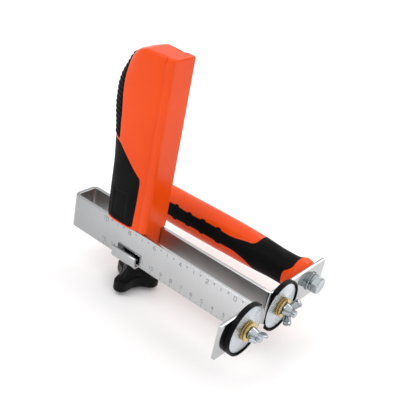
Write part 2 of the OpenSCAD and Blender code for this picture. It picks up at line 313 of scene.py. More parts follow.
def smooth_table(table):
    """Monotone cubic interpolation of (x, y) pairs."""
    x, y = np.array(table, float).T
    h, d = np.diff(x), np.diff(y) / np.diff(x)
    m = np.zeros(len(x))
    for i in range(1, len(x) - 1):
        if d[i - 1] * d[i] > 0:
            w1, w2 = 2 * h[i] + h[i - 1], h[i] + 2 * h[i - 1]
            m[i] = (w1 + w2) / (w1 / d[i - 1] + w2 / d[i])
    m[0], m[-1] = d[0], d[-1]

    def value(q):
        q = np.clip(q, x[0], x[-1])
        i = np.clip(np.searchsorted(x, q) - 1, 0, len(x) - 2)
        t = (q - x[i]) / h[i]
        return ((2 * t**3 - 3 * t**2 + 1) * y[i] + (t**3 - 2 * t**2 + t) * h[i] * m[i]
                + (-2 * t**3 + 3 * t**2) * y[i + 1] + (t**3 - t**2) * h[i] * m[i + 1])

    return value


def surface_normals(p, wrap_cols):
    """Unit normals of a rows x cols x 3 grid, pointing out when columns run clockwise from above."""
    if wrap_cols:
        du = np.roll(p, -1, 1) - np.roll(p, 1, 1)
    else:
        du = np.gradient(p, axis=1)
    dv = np.gradient(p, axis=0)
    nrm = np.cross(du, dv)
    return nrm / np.maximum(np.linalg.norm(nrm, axis=2, keepdims=True), 1e-9)


def keep_faces(faces, mask_flat):
    """Faces whose four corners are all marked, and the vertices they use, renumbered."""
    used = [q for q in faces if all(mask_flat[i] for i in q)]
    ids = sorted({i for q in used for i in q})
    new = {old: k for k, old in enumerate(ids)}
    return ids, [[new[i] for i in q] for q in used]


def rounded_section(w, h, r, steps=3):
    """Corner-rounded rectangle, centred, as (across, up) pairs, anticlockwise."""
    out = []
    for cx, cy, a0 in ((w / 2 - r, h / 2 - r, 0), (-w / 2 + r, h / 2 - r, 90), (-w / 2 + r, -h / 2 + r, 180), (w / 2 - r, -h / 2 + r, 270)):
        for k in range(steps + 1):
            a = math.radians(a0 + 90 * k / steps)
            out.append((cx + r * math.cos(a), cy + r * math.sin(a)))
    return np.array(out)


def sweep_flat(path, section, lift, cap_round=0.3):
    """Sweeps a section along a planar path (n x 2). lift turns (path point, out of plane) into xyz."""
    path = np.array(path, float)
    tan = np.gradient(path, axis=0)
    tan /= np.linalg.norm(tan, axis=1, keepdims=True)
    nor = np.stack([tan[:, 1], -tan[:, 0]], 1)
    rings = []
    count = len(path)
    for i in range(count):
        for shrink, along in (((cap_round, 0.0), (0, cap_round)) if i == 0 else ((0, -cap_round), (cap_round, 0.0)) if i == count - 1 else ((0, 0),)):
            sec = section * (1 - 2 * shrink / np.abs(section).max(0) / 2)
            centre = path[i] + tan[i] * along
            flat = centre + sec[:, :1] * nor[i]
            rings.append(lift(flat, sec[:, 1]))
    return loft(rings)


def arc(cx, cy, r, a0, a1, n):
    return [(cx + r * math.cos(math.radians(a)), cy + r * math.sin(math.radians(a))) for a in np.linspace(a0, a1, n)]


# ---------------------------------------------------------------- shared sizes

strip_lo, strip_hi = box("frame_strip")
leg_out = 12.0
strip_t = 3.0
mid_z = (strip_lo[2] + strip_hi[2]) / 2
strip_h = strip_hi[2] - strip_lo[2]
flange_x = strip_hi[0]

orange = make_orange()
rubber = make_rubber("black_rubber", (0.0032, 0.0032, 0.0034), 0.4, 0.58, 1500)
hard_black = make_rubber("black_plastic", (0.003, 0.003, 0.0032), 0.3, 0.46, 2200, 0.1)
paint = make_rubber("black_steel", (0.0028, 0.003, 0.0034), 0.26, 0.4, 2600, 0.07)
# The zinc's colour carries painted shade: darker towards the closed end (x 0) and on the wheel flange (past x 177).
zinc = make_metal("zinc_steel", (0.6, 0.61, 0.62), 0.05, 0.11, (0.08, 1, 1), 0.02, 0.96, 0.012,
                  [(0, 0.58), (40, 0.7), (95, 0.86), (165, 0.95), (176, 0.95), (177.5, 0.76), (180, 0.76)])
# A darker, rougher copy of the zinc: painted shade for the legs' inner faces in the throat.
zinc_painted_shade = make_metal("zinc_steel_throat_shade", (0.5, 0.5, 0.5), 0.3, 0.4, (0.08, 1, 1), 0.02, 0.94, 0.01)
bolt_metal = make_metal("bolt_steel", (0.42, 0.455, 0.48), 0.06, 0.14, (1, 1, 1), 0.05, 0.85, 0.05)
brass = make_metal("brass", (0.62, 0.46, 0.19), 0.07, 0.16, (1, 1, 1), 0.05, 0.75, 0.06)
ink = make_rubber("rule_marks", (0.16, 0.16, 0.165), 0.4, 0.6, 2200)

# ---------------------------------------------------------------- frame strip

def leg_path():
    half = strip_t / 2
    c = leg_out - half
    x_f = flange_x - half
    r_in, r_end = 2.5, 3.5
    front = [(x_f, y) for y in np.linspace(strip_lo[1], -c - r_in, 8)][:-1]
    front += arc(x_f - r_in, -c - r_in, r_in, 0, 90, 9)
    front += [(x, -c) for x in np.linspace(x_f - r_in, half + r_end, 40)][1:-1]
    front += arc(half + r_end, -c + r_end, r_end, 270, 180, 10)
    front += [(half, y) for y in np.linspace(-c + r_end, c - r_end, 6)][1:-1]
    front += arc(half + r_end, c - r_end, r_end, 180, 90, 10)
    front += [(x, c) for x in np.linspace(half + r_end, x_f - r_in, 40)][1:-1]
    front += arc(x_f - r_in, c + r_in, r_in, 270, 360, 9)
    front += [(x_f, y) for y in np.linspace(c + r_in, strip_hi[1], 12)][1:]
    return front


v, f = sweep_flat(leg_path(), rounded_section(strip_t, strip_h, 0.45, 4),
                  lambda flat, up: np.stack([flat[:, 0], flat[:, 1], up + mid_z], 1))
centres = np.array([np.array(v)[q].mean(0) for q in f])
# Faces inside the throat between the legs take the darker zinc copy as painted shade.
throat_shade_faces = (np.abs(centres[:, 1]) < leg_out - strip_t + 0.2) & (centres[:, 0] > strip_t - 0.2) & (centres[:, 0] < flange_x - strip_t - 1)
piece("frame_strip_body", v, f, [zinc, zinc_painted_shade], "frame", ["frame_strip"], 40, throat_shade_faces)

# ---------------------------------------------------------------- rule on the front leg

DIGITS = {
    "0": [[(0, .2), (0, 1.4), (.2, 1.6), (.8, 1.6), (1, 1.4), (1, .2), (.8, 0), (.2, 0), (0, .2)]],
    "1": [[(.2, 1.3), (.55, 1.6), (.55, 0)]],
    "2": [[(0, 1.3), (.25, 1.6), (.8, 1.6), (1, 1.35), (1, 1.05), (0, 0), (1, 0)]],
    "3": [[(0, 1.6), (1, 1.6), (.45, 1), (.8, .95), (1, .7), (1, .2), (.8, 0), (.2, 0), (0, .2)]],
    "4": [[(.75, 0), (.75, 1.6), (0, .5), (1, .5)]],
    "5": [[(1, 1.6), (.1, 1.6), (.05, .95), (.7, 1), (1, .75), (1, .2), (.8, 0), (.2, 0), (0, .15)]],
    "6": [[(.9, 1.5), (.6, 1.6), (.2, 1.35), (0, .8), (0, .2), (.2, 0), (.8, 0), (1, .2), (1, .65), (.8, .85), (.2, .85), (0, .65)]],
    "7": [[(0, 1.6), (1, 1.6), (.4, 0)]],
    "8": [[(.25, .85), (.05, 1.05), (.05, 1.4), (.25, 1.6), (.75, 1.6), (.95, 1.4), (.95, 1.05), (.75, .85),
           (.25, .85), (0, .65), (0, .2), (.2, 0), (.8, 0), (1, .2), (1, .65), (.75, .85)]],
    "9": [[(.1, .1), (.4, 0), (.8, .25), (1, .8), (1, 1.4), (.8, 1.6), (.2, 1.6), (0, 1.4), (0, .95), (.2, .75), (.8, .75), (1, .95)]],
}
mark_y = -leg_out - 0.02
mark_back = -leg_out + 0.05


def stroke(p, q, width):
    """A thin raised bar on the leg's face from p to q, each (x, z)."""
    p, q = np.array(p, float), np.array(q, float)
    d = (q - p) / max(np.linalg.norm(q - p), 1e-6)
    s = np.array([-d[1], d[0]]) * width / 2
    e = d * width * 0.35
    corners = [p - e - s, q + e - s, q + e + s, p - e + s]
    verts = [(c[0], mark_back, c[1]) for c in corners] + [(c[0], mark_y, c[1]) for c in corners]
    return verts, [[4, 5, 6, 7], [0, 1, 5, 4], [1, 2, 6, 5], [2, 3, 7, 6], [3, 0, 4, 7]]


def write_number(text, x, z, size, width):
    """Strokes for a number centred on x, with its foot at z."""
    out = []
    left = x - (len(text) * 1.35 - 0.35) * size / 2
    for k, ch in enumerate(text):
        for line in DIGITS[ch]:
            pts = [(left + (k * 1.35 + px) * size, z + pz * size) for px, pz in line]
            out += [stroke(pts[i], pts[i + 1], width) for i in range(len(pts) - 1)]
    return out


top_z, low_z = strip_hi[2], strip_lo[2]
inch_zero = 189.3
inch_quarter = 6.35
cm_zero = 187.6
marks = []
for k in range(3, 25):
    x = inch_zero - inch_quarter * k
    if k % 4 == 0:
        marks += write_number(str(k // 2 - 2), x, top_z - 5.6, 2.1, 0.42)
    elif k % 2 == 0:
        marks.append(stroke((x, top_z - 2.2), (x, top_z - 4.8), 0.42))
    else:
        marks += [stroke((x - 0.7, top_z - 2.3), (x + 0.7, top_z - 2.3), 0.4), stroke((x, top_z - 2.3), (x, top_z - 3.4), 0.5)]
for k in range(2, 16):
    x = cm_zero - 10 * k
    marks.append(stroke((x, low_z + 1.0), (x, low_z + 3.2), 0.34))
    marks += write_number(str(k), x, low_z + 4.5, 1.8, 0.36)
    marks.append(stroke((x - 5, low_z + 1.0), (x - 5, low_z + 2.2), 0.3))
v, f = join(marks)
piece("rule_marks", v, f, ink, "frame", angle=20)

# ---------------------------------------------------------------- wheels on the open end

def hex_prism(x0, x1, af, yc, zc, chamfer_front=0.0, chamfer_back=0.0, turn=0.0, dish=0.0):
    """Hexagon along +X whose corners are turned down to a cone at the chamfered ends."""
    n = 96
    a = np.arange(n) * 2 * math.pi / n
    local = (a - math.radians(turn) + math.pi / 6) % (math.pi / 3) - math.pi / 6
    flat_r = af / 2 / np.cos(local)
    corner = af / 2 / math.cos(math.pi / 6)
    rings = []

    def ring(x, r):
        rings.append(np.stack([np.full(n, x), yc + r * np.cos(a), zc + r * np.sin(a)], 1))

    if chamfer_back:
        ring(x0, np.full(n, af / 2 * 0.94))
        rise = (flat_r - af / 2 * 0.94) / (corner - af / 2 * 0.94)
        rings.append(np.stack([x0 + chamfer_back * rise, yc + flat_r * np.cos(a), zc + flat_r * np.sin(a)], 1))
    else:
        ring(x0, flat_r - 0.15)
        ring(x0 + 0.15, flat_r)
    if chamfer_front:
        rise = (flat_r - af / 2 * 0.94) / (corner - af / 2 * 0.94)
        rings.append(np.stack([x1 - chamfer_front * rise, yc + flat_r * np.cos(a), zc + flat_r * np.sin(a)], 1))
        ring(x1, np.full(n, af / 2 * 0.94))
        if dish:
            ring(x1, np.full(n, af / 2 * 0.62))
            ring(x1 - dish, np.full(n, af / 2 * 0.54))
    else:
        ring(x1 - 0.15, flat_r)
        ring(x1, flat_r - 0.15)
    return loft(rings)


def thread(x0, x1, r, pitch, yc, zc, n=48, depth=0.5):
    """Threaded shank along +X with a chamfered free end."""
    steps = int((x1 - x0) / pitch * 8)
    a = np.arange(n) * 2 * math.pi / n
    rings = []
    for k in range(steps + 1):
        x = x0 + (x1 - x0) * k / steps
        turn = ((x - x0) / pitch - a / (2 * math.pi)) % 1.0
        rr = r - depth * (1 - np.abs(2 * turn - 1)) ** 1.0
        rr = np.minimum(rr, r - depth * 0.1)
        rr = np.minimum(rr, r - depth * 1.2 * max(0.0, 1 - (x1 - x) / (pitch * 0.8)))
        rings.append(np.stack([np.full(n, x), yc + rr * np.cos(a), zc + rr * np.sin(a)], 1))
    return loft(rings)


def wheel_stack(side, sign):
    """Guard, blade, bush and axle bolt of one wheel. sign is -1 on the ruled leg's side."""
    lo, hi = box(f"{side}_blade")
    yc, zc, blade_r = (lo[1] + hi[1]) / 2, (lo[2] + hi[2]) / 2, (hi[1] - lo[1]) / 2
    x_a, x_b = lo[0], hi[0]
    bore = 4.1
    edge = 0.05
    profile = [(x_a, bore), (x_a, blade_r - 2.2), (x_a + (x_b - x_a) / 2 - edge, blade_r - 0.05),
               (x_a + (x_b - x_a) / 2, blade_r), (x_a + (x_b - x_a) / 2 + edge, blade_r - 0.05),
               (x_b, blade_r - 2.2), (x_b, bore + 0.1), (x_b - 0.1, bore)]
    steel = make_turned(f"blade_steel_{side}", (0.6, 0.635, 0.68), 0.18, 0.3, (0, yc / 1000, zc / 1000), 0.00035, 0.5)
    v, f = closed_lathe(profile, yc, zc, 192)
    piece(f"{side}_blade_disc", v, f, steel, f"{side}_wheel", [f"{side}_blade"], 12)

    lo, hi = box(f"{side}_guard")
    guard_r = (hi[2] - lo[2]) / 2
    flat_y = hi[1] - yc if sign < 0 else yc - lo[1]
    dish_r, dish_x = guard_r - 1.4, x_a - 0.3
    n = 240
    a = np.arange(n) * 2 * math.pi / n
    dirs = np.stack([np.cos(a), np.sin(a)], 1)
    toward = -sign * dirs[:, 0]
    open_side = toward * (dish_r + 0.3) > flat_y
    rings = []
    for x, r in ((lo[0] + 0.02, guard_r - 0.3), (lo[0] + 0.3, guard_r), (hi[0] - 0.4, guard_r), (hi[0] - 0.12, guard_r - 0.1), (hi[0], guard_r - 0.4),
                 (hi[0], dish_r + 0.25), (hi[0] - 0.2, dish_r), (dish_x + 0.3, dish_r), (dish_x, dish_r - 0.3), (dish_x, 12.0), (dish_x, 4.2)):
        reach = np.full(n, r)
        cut = toward * r > flat_y - 0.02
        reach[cut] = (flat_y - 0.02) / toward[cut]
        at = np.where(open_side, min(x, dish_x), x)
        rings.append(np.stack([at, yc + dirs[:, 0] * reach, zc + dirs[:, 1] * reach], 1))
    v, f = loft(rings)
    piece(f"{side}_guard_plate", v, f, paint, "frame", [f"{side}_guard"], 30)

    lo, hi = box(f"{side}_bush")
    rim = (hi[1] - lo[1]) / 2
    x0, x1 = x_b + 0.3, hi[0]
    profile = [(lo[0] + 0.05, 3.1), (lo[0] + 0.05, 3.96), (x0 + 0.1, 3.96), (x0, 5.2), (x0, rim - 0.45),
               (x0 + 0.14, rim - 0.1), (x0 + 0.3, rim), (x0 + 1.0, rim), (x0 + 1.18, rim - 0.25), (x0 + 1.3, rim - 0.7),
               (x0 + 1.45, rim - 1.15), (x0 + 1.75, rim - 1.15), (x0 + 1.9, rim - 0.7), (x0 + 2.02, rim - 0.25),
               (x0 + 2.2, rim - 0.02), (x1 - 0.6, rim - 0.02), (x1 - 0.3, rim - 0.25), (x1 - 0.1, rim - 1.5),
               (x1, rim - 2.2), (x1, 4.4), (x1 - 0.25, 3.1)]

    def knurl(angle, i):
        teeth = 1 + 0.016 * np.sign(np.sin(angle * 34)) * np.abs(np.sin(angle * 34)) ** 0.6
        return teeth if profile[i][1] > rim - 0.2 else np.ones_like(angle)

    v, f = closed_lathe(profile, yc, zc, 272, knurl)
    piece(f"{side}_bush_knurled", v, f, brass, "frame", [f"{side}_bush"], 38)

    lo, hi = box(f"{side}_axle_bolt")
    head = hex_prism(lo[0], flange_x - strip_t - 0.02, 10, yc, zc, chamfer_back=0.9, turn=0)
    shank = thread(flange_x + 0.4, hi[0], 3.0, 1.0, yc, zc)
    v, f = join([head, shank])
    piece(f"{side}_axle_bolt_m6", v, f, bolt_metal, "frame", [f"{side}_axle_bolt"], 30)


def wing(x0, axis_turn, yc, zc, flip):
    """One swept wing: a rounded blade that leans forward and out, with a thick rim."""
    rings = []
    count = 20
    for k in range(count + 1):
        t = k / count
        out = 2.2 + 7.6 * t ** 1.15
        x = x0 + 2.6 + 5.0 * t ** 1.35
        wide = 2.3 + 0.3 * math.sin(math.pi * t) + 0.8 * t
        thick = 1.15 - 0.32 * t + 0.22 * smoothstep(t, 0.7, 0.95)
        if t > 0.84:
            e = (t - 0.84) / 0.16
            wide *= math.sqrt(1 - 0.7 * e ** 2.4)
            thick *= math.sqrt(1 - 0.75 * e ** 3.0)
        lean = math.radians(34)
        m = 28
        a = np.arange(m) * 2 * math.pi / m
        c, s = np.cos(a), np.sin(a)
        u = np.sign(c) * np.abs(c) ** 0.5 * wide
        w = np.sign(s) * np.abs(s) ** 0.5 * thick
        px = x + u * math.cos(lean)
        py = out - u * math.sin(lean)
        rings.append(np.stack([px, py, w], 1))
    v, f = loft(rings)
    v = np.array(v)
    turn = math.radians(axis_turn + (180 if flip else 0))
    y = v[:, 1] * math.cos(turn) - v[:, 2] * math.sin(turn)
    z = v[:, 1] * math.sin(turn) + v[:, 2] * math.cos(turn)
    return np.stack([v[:, 0], y + yc, z + zc], 1), f


def wing_nut(side, turn):
    """One cast wing nut, turned about its axle by turn degrees."""
    lo, hi = box(f"{side}_wing_nut")
    blade_lo, blade_hi = box(f"{side}_blade")
    yc, zc = (blade_lo[1] + blade_hi[1]) / 2, (blade_lo[2] + blade_hi[2]) / 2
    x0 = lo[0]
    profile = [(x0, 3.08), (x0, 4.55), (x0 + 0.2, 4.85), (x0 + 1.2, 4.8), (x0 + 2.6, 4.45), (x0 + 4.3, 4.1),
               (x0 + 5.2, 3.95), (x0 + 5.55, 3.7), (x0 + 5.6, 3.3), (x0 + 5.35, 3.08)]
    v, f = join([closed_lathe(profile, yc, zc, 64), wing(x0, turn, yc, zc, False), wing(x0, turn, yc, zc, True)])
    piece(f"{side}_wing_nut_cast", v, f, bolt_metal, f"{side}_nut", [f"{side}_wing_nut"], 50)


wheel_stack("front", -1)
wheel_stack("rear", 1)
wing_nut("front", -13)
wing_nut("rear", 55)

# ---------------------------------------------------------------- bolt of the side handle

lo, hi = box("handle_flat_washer")
hy, hz = (lo[1] + hi[1]) / 2, (lo[2] + hi[2]) / 2
r = (hi[1] - lo[1]) / 2
v, f = closed_lathe([(lo[0] + 0.02, 4.2), (lo[0] + 0.02, r - 0.2), (lo[0] + 0.2, r), (hi[0] - 0.3, r), (hi[0], r - 0.35),
                     (hi[0], 4.3), (hi[0] - 0.1, 4.2)], hy, hz, 128)
piece("flat_washer_m8", v, f, bolt_metal, "frame", ["handle_flat_washer"], 30)

lo, hi = box("handle_lock_washer")
r = 6.8
n = 110
gap = math.radians(4.5)
rings = []
for a in np.linspace(math.radians(262) + gap, math.radians(262) + 2 * math.pi - gap, n):
    offset = 0.28 * (0.5 - (a - math.radians(262)) / (2 * math.pi))
    ring = []
    for x, rr in ((0.15, 4.15), (0.05, 4.3), (0.0, r - 0.25), (0.25, r), (1.75, r), (2.0, r - 0.25), (1.95, 4.3), (1.85, 4.15)):
        ring.append((lo[0] + x * 0.93 + offset * 0.4 + 0.06, hy + rr * math.cos(a), hz + rr * math.sin(a)))
    rings.append(ring)
v, f = loft(rings)
piece("split_lock_washer", v, f, bolt_metal, "frame", ["handle_lock_washer"], 30)

lock_hi = hi[0]
lo, hi = box("handle_bolt")
v, f = join([hex_prism(lock_hi + 0.03, hi[0], 13, hy, hz, chamfer_front=1.15, turn=8, dish=0.22),
             loft(lathe_x([(flange_x + 0.4, 3.9), (lock_hi + 0.1, 3.9)], hy, hz, 48))])
piece("handle_bolt_m8", v, f, bolt_metal, "frame", ["handle_bolt"], 25)


def cover_piece(name, p, nrm, signed, out, wrap, mats, body, nodes, rim=1.2, under=1.5, angle=40):
    """A soft cover that lies on surface p where signed (mm inside its outline) is above -rim.
    Its edge dives under the surface there, and it is closed by an inner skin."""
    rows, cols = p.shape[:2]
    outer = p + nrm * out[..., None]
    mask = (signed > -rim).reshape(-1)
    ids, faces = keep_faces(grid_faces(rows, cols, wrap), mask)
    top = outer.reshape(-1, 3)[ids]
    low = top - nrm.reshape(-1, 3)[ids] * under
    k = len(ids)
    edges = {}
    for q in faces:
        for i in range(4):
            a, b = q[i], q[(i + 1) % 4]
            if (b, a) in edges:
                del edges[(b, a)]
            else:
                edges[(a, b)] = True
    walls = [[b, a, a + k, b + k] for a, b in edges]
    inner = [[i + k for i in q[::-1]] for q in faces]
    return piece(name, np.concatenate([top, low]), faces + inner + walls, mats, body, nodes, angle)


# ---------------------------------------------------------------- upright handle, the fence

fence_lo, fence_hi = box("fence_handle")
face_x = fence_hi[0]
foot_z = strip_hi[2] + 0.2
bar_half = 11.8
groove_x = face_x - 6.5
grip_mid = face_x - 25.5
bow = 26.0
power = 2 / 2.6
back_edge = smooth_table([(14, 33.8), (43, 32.7), (61, 32.2), (70, 31.3), (79.5, 30.1), (88, 28.9), (97, 26.9), (106, 25.6), (116, 25.5),
                          (125.5, 27.1), (136, 31.8), (142, 34.7), (147, 38.7), (149.8, 42.8), (151.5, 46.6), (152.6, 49.6)])
rear_half = smooth_table([(14, 13.2), (152.6, 12.3)])
half_width = smooth_table([(14, 14.7), (100, 14.5), (125, 14.2), (140, 13.5), (148, 12.9), (151, 12.5), (152.6, 12.3)])


def signed_pow(v, p):
    return np.sign(v) * np.abs(v) ** p


def fence_outline(z):
    """Outline at height z, clockwise from above, starting in the groove on the ruled side."""
    reach_back = grip_mid - back_edge(z)
    half = half_width(z)
    rear_y = rear_half(z)
    u_end = math.acos(signed_pow((grip_mid - (groove_x - 0.7)) / bow, 1 / power))
    u = np.linspace(-u_end, u_end, 181)
    reach = np.where(np.abs(u) > math.pi / 2, bow, reach_back)
    x = grip_mid - reach * signed_pow(np.cos(u), power)
    y = half * signed_pow(np.sin(u), power)
    y[0], y[-1] = -abs(y[0]), abs(y[-1])
    deep = 0.5 * (1 - smoothstep(z, 140, 147))
    front_end, rear_end = abs(y[0]), abs(y[-1])
    span_x = 2.0
    rear = [(groove_x - 0.7 + span_x * t, rear_end + (rear_y - rear_end) * t - deep * math.sin(math.pi * t))
            for t in (0.2, 0.4, 0.6, 0.8, 1.0)]
    rear += [(face_x - 3, rear_y)]
    rear += [(face_x - 0.6 + 0.6 * math.cos(math.radians(q)), rear_y - 0.6 + 0.6 * math.sin(math.radians(q))) for q in (90, 67, 45, 22, 0)]
    face = [(face_x, yy) for yy in np.linspace(rear_y - 2.5, -bar_half + 4.5, 9)]
    r = 3.4
    front = [(face_x - r + r * math.cos(math.radians(q)), -bar_half + r - r * math.sin(math.radians(q))) for q in np.linspace(0, 90, 11)]
    front += [(groove_x - 0.7 + span_x * t, -front_end + (front_end - bar_half) * t + deep * math.sin(math.pi * t))
              for t in (1.0, 0.8, 0.6, 0.4, 0.2)]
    return np.array(list(zip(x, y)) + rear + face + front)


cap_fillet = 2.2
body_z = np.arange(foot_z + 0.8, fence_hi[2] - cap_fillet - 0.15, 0.6)
heights = [foot_z, foot_z + 0.1, foot_z + 0.4] + list(body_z)
insets = [0.7, 0.3, 0.05] + [0.0] * len(body_z)
for a in np.linspace(0, math.pi / 2, 9):
    heights.append(fence_hi[2] - cap_fillet - 0.05 + cap_fillet * math.sin(a))
    insets.append(cap_fillet * (1 - math.cos(a)))
cap_mid = np.array([(grip_mid + face_x) / 2 - 1, 0.3])
for share in (0.8, 0.55, 0.25):
    heights.append(fence_hi[2] - 0.05)
    insets.append(-share)


def fence_ring(z, s):
    """Ring at height z: s mm inside the outline, or for a negative s shrunk to that share towards the cap's middle."""
    outline = fence_outline(min(z, fence_hi[2] - 0.05))
    half = np.abs(outline - cap_mid).max(0)
    flat = cap_mid + (outline - cap_mid) * (1 - max(s, 0) / half)
    if s < 0:
        flat = cap_mid + (outline - cap_mid) * (1 - cap_fillet / half) * -s
    return np.column_stack([flat, np.full(len(flat), z)])


grid = np.array([fence_ring(z, s) for z, s in zip(heights, insets)])
normal = -surface_normals(grid, True)
gx, gy, gz = grid[..., 0], grid[..., 1], grid[..., 2]


def polygon_distance(px, pz, corners):
    """Signed distance to a polygon, positive inside."""
    best = np.full(px.shape, 1e9)
    inside = np.zeros(px.shape, bool)
    n = len(corners)
    for i in range(n):
        (x0, z0), (x1, z1) = corners[i], corners[(i + 1) % n]
        dx, dz = x1 - x0, z1 - z0
        t = np.clip(((px - x0) * dx + (pz - z0) * dz) / (dx * dx + dz * dz), 0, 1)
        best = np.minimum(best, np.hypot(px - x0 - t * dx, pz - z0 - t * dz))
        cross = ((z0 > pz) != (z1 > pz)) & (px < (x1 - x0) * (pz - z0) / (z1 - z0 + 1e-12) + x0)
        inside ^= cross
    return np.where(inside, best, -best)


split_z = 79.6
panel_outline = [(0, 16.0), (62.6, 16.0), (64.2, 17.4), (64.9, 40), (64.9, 54.0), (64.2, 57.6), (43.0, 77.2),
                 (39.6, split_z - 0.6), (0, split_z - 0.6)]
panel = polygon_distance(gx, gz, panel_outline)
strip_edge = smooth_table([(14, 40), (79.5, 40.1), (94, 39.3), (104, 38.6), (114, 37.2), (125, 36.6), (134, 37.1), (142, 38.3), (152.6, 42)])
strip = np.minimum(np.minimum(strip_edge(gz) - gx, gz - split_z - 1.0), 148.6 - gz - 0.034 * gy**2)
cover = np.maximum(panel, strip)
sunk = grid - normal * (1.0 * smoothstep(cover, -0.1, 0.9))[..., None]

tongue_lo, tongue_hi = fence_lo[2], foot_z + 1.5
tx0, tx1 = face_x - 29.9, face_x - 0.05
tongue_rings = []
for z, s in ((tongue_lo, 0.7), (tongue_lo + 0.2, 0.25), (tongue_lo + 0.7, 0.0), (tongue_hi, 0.0)):
    ring = []
    for cx, cy, a0 in ((tx1 - 1.2, 8.8 - 1.2, 0), (tx0 + 1.2, 8.8 - 1.2, 90), (tx0 + 1.2, -8.8 + 1.2, 180), (tx1 - 1.2, -8.8 + 1.2, 270)):
        for k in range(5):
            a = math.radians(a0 + 90 * k / 4)
            ring.append((cx + (1.2 - s) * math.cos(a), cy + (1.2 - s) * math.sin(a), z))
    tongue_rings.append(ring)
body_v, body_f = loft(list(sunk))
v, f = join([(body_v, body_f), loft(tongue_rings)])
piece("fence_handle_moulding", v, f, orange, "fence", ["fence_handle"], 32)

inset_panel = np.clip(np.minimum(gx - 43.2, 56.8 - gx), -9, 9)
inset_panel = np.minimum(inset_panel, np.minimum(gz - 19.2, 41.0 - gz))
inset_panel = np.where(gx < grip_mid + 12, inset_panel, -9)
crest = 0.22 * smoothstep(panel, -0.55, 0.5) - 0.9 * (1 - smoothstep(panel, -1.0, 0.05))
crest -= 0.45 * smoothstep(inset_panel, -0.35, 0.45)
cover_piece("fence_panel_soft", grid, normal, panel, crest, True, rubber, "fence", ["fence_panel"])

pitch = 3.6
phase = ((gz - split_z) / pitch) % 1.0
rib = smoothstep(np.abs(phase - 0.5), 0.12, 0.34)
rib_zone = smoothstep(strip, 0.3, 1.4)
proud = 0.12 * smoothstep(strip, -0.4, 0.5) - 1.0 * (1 - smoothstep(strip, -1.0, 0.05)) + rib_zone * (0.75 * rib - 0.15)
cover_piece("fence_strip_ribbed", grid, normal, strip, proud, True, rubber, "fence", ["fence_rib_strip"])

# ---------------------------------------------------------------- side handle

core_lo, core_hi = box("rear_handle_core")
end_x = core_lo[0]
axis_y = (core_lo[1] + core_hi[1]) / 2
handle_len = core_hi[0] - core_lo[0]
handle_r = smooth_table([(0, 0.02), (0.25, 3.6), (0.9, 6.8), (2.0, 9.4), (4.2, 12.0), (8, 13.8), (14, 14.6), (24, 14.9), (60, 15), (97, 14.65),
                         (112, 14.2), (124, 13.4), (136, 12.75), (145, 12.75), (149, 13.1), (151.6, 14.0), (153.6, 15.0), (156, 15.55), (158.4, 15.2),
                         (160.6, 14.3), (162, 13.3), (163, 12.2)])
handle_drop = smooth_table([(0, 2.6), (36, 2.6), (57, 2.15), (79, 1.7), (97, 1.35), (120, 1.3), (163, 1.1)])
d = np.concatenate([[0, 0.12, 0.3, 0.55, 0.9, 1.4, 2.0, 2.8], np.arange(3.6, handle_len - 3.2, 0.62),
                    np.linspace(handle_len - 3.1, handle_len - 0.02, 8)])
n = 210
a = np.arange(n) * 2 * math.pi / n
dd, aa = np.meshgrid(d, a, indexing="ij")
rr = handle_r(dd)
hgrid = np.stack([end_x + dd, axis_y - rr * np.cos(aa), rr * np.sin(aa) - handle_drop(dd)], 2)
hnormal = surface_normals(hgrid, True)
if (hnormal[100, :, 2] * np.sin(a)).sum() < 0:
    hnormal = -hnormal
hnormal[0] = (-1, 0, 0)
up_angle = np.where(np.cos(aa) < 0, math.pi - aa, aa)
up_angle = np.where(up_angle > math.pi, up_angle - 2 * math.pi, up_angle)
arc_mm = rr * up_angle
along = end_x + dd


def tooth(x, at, half):
    return smoothstep(half - np.abs(x - at), -0.5, 0.5)


upper_teeth = sum(tooth(along, at, width) for at, width in ((52, 1.9), (66.4, 2.0), (80.4, 2.1), (96.4, 2.2)))
lower_teeth = sum(tooth(along, at, width) for at, width in ((54, 1.9), (68, 2.0), (82.2, 2.0), (99.2, 2.2)))
upper = 9.1 + 0.35 * np.sin(along * 0.16) + 1.15 * upper_teeth
lower = -0.7 - 0.3 * np.sin(along * 0.13 + 1) - 1.1 * lower_teeth
upper += 2.2 * smoothstep(along, 108, 128)
lower -= 4.5 * smoothstep(along, 112, 134)
side = np.minimum(np.minimum(upper - arc_mm, arc_mm - lower), along - (end_x + 16))
neck = along - (131.2 - 1.8 * np.cos(up_angle) ** 2 + 4.5 * smoothstep(-up_angle, 0.0, 1.2))
k = 5.0
h = np.clip(0.5 + 0.5 * (neck - side) / k, 0, 1)
black = side * (1 - h) + neck * h + k * h * (1 - h)
cap_edge = 160.6 + 6.4 * smoothstep(up_angle, 0.24, 0.92)
black = np.minimum(black, cap_edge - along)
sunk = hgrid - hnormal * (0.9 * smoothstep(black, -0.1, 0.9))[..., None]
v, f = loft(list(sunk))
piece("side_handle_core", v, f, orange, "frame", ["rear_handle_core"], 35)
fine = 0.14 * smoothstep(black, -0.5, 0.5) - 0.9 * (1 - smoothstep(black, -1.0, 0.05))
cover_piece("side_handle_cover", hgrid, hnormal, black, fine, True, rubber, "frame", ["rear_handle_grip"])

# ---------------------------------------------------------------- clamp

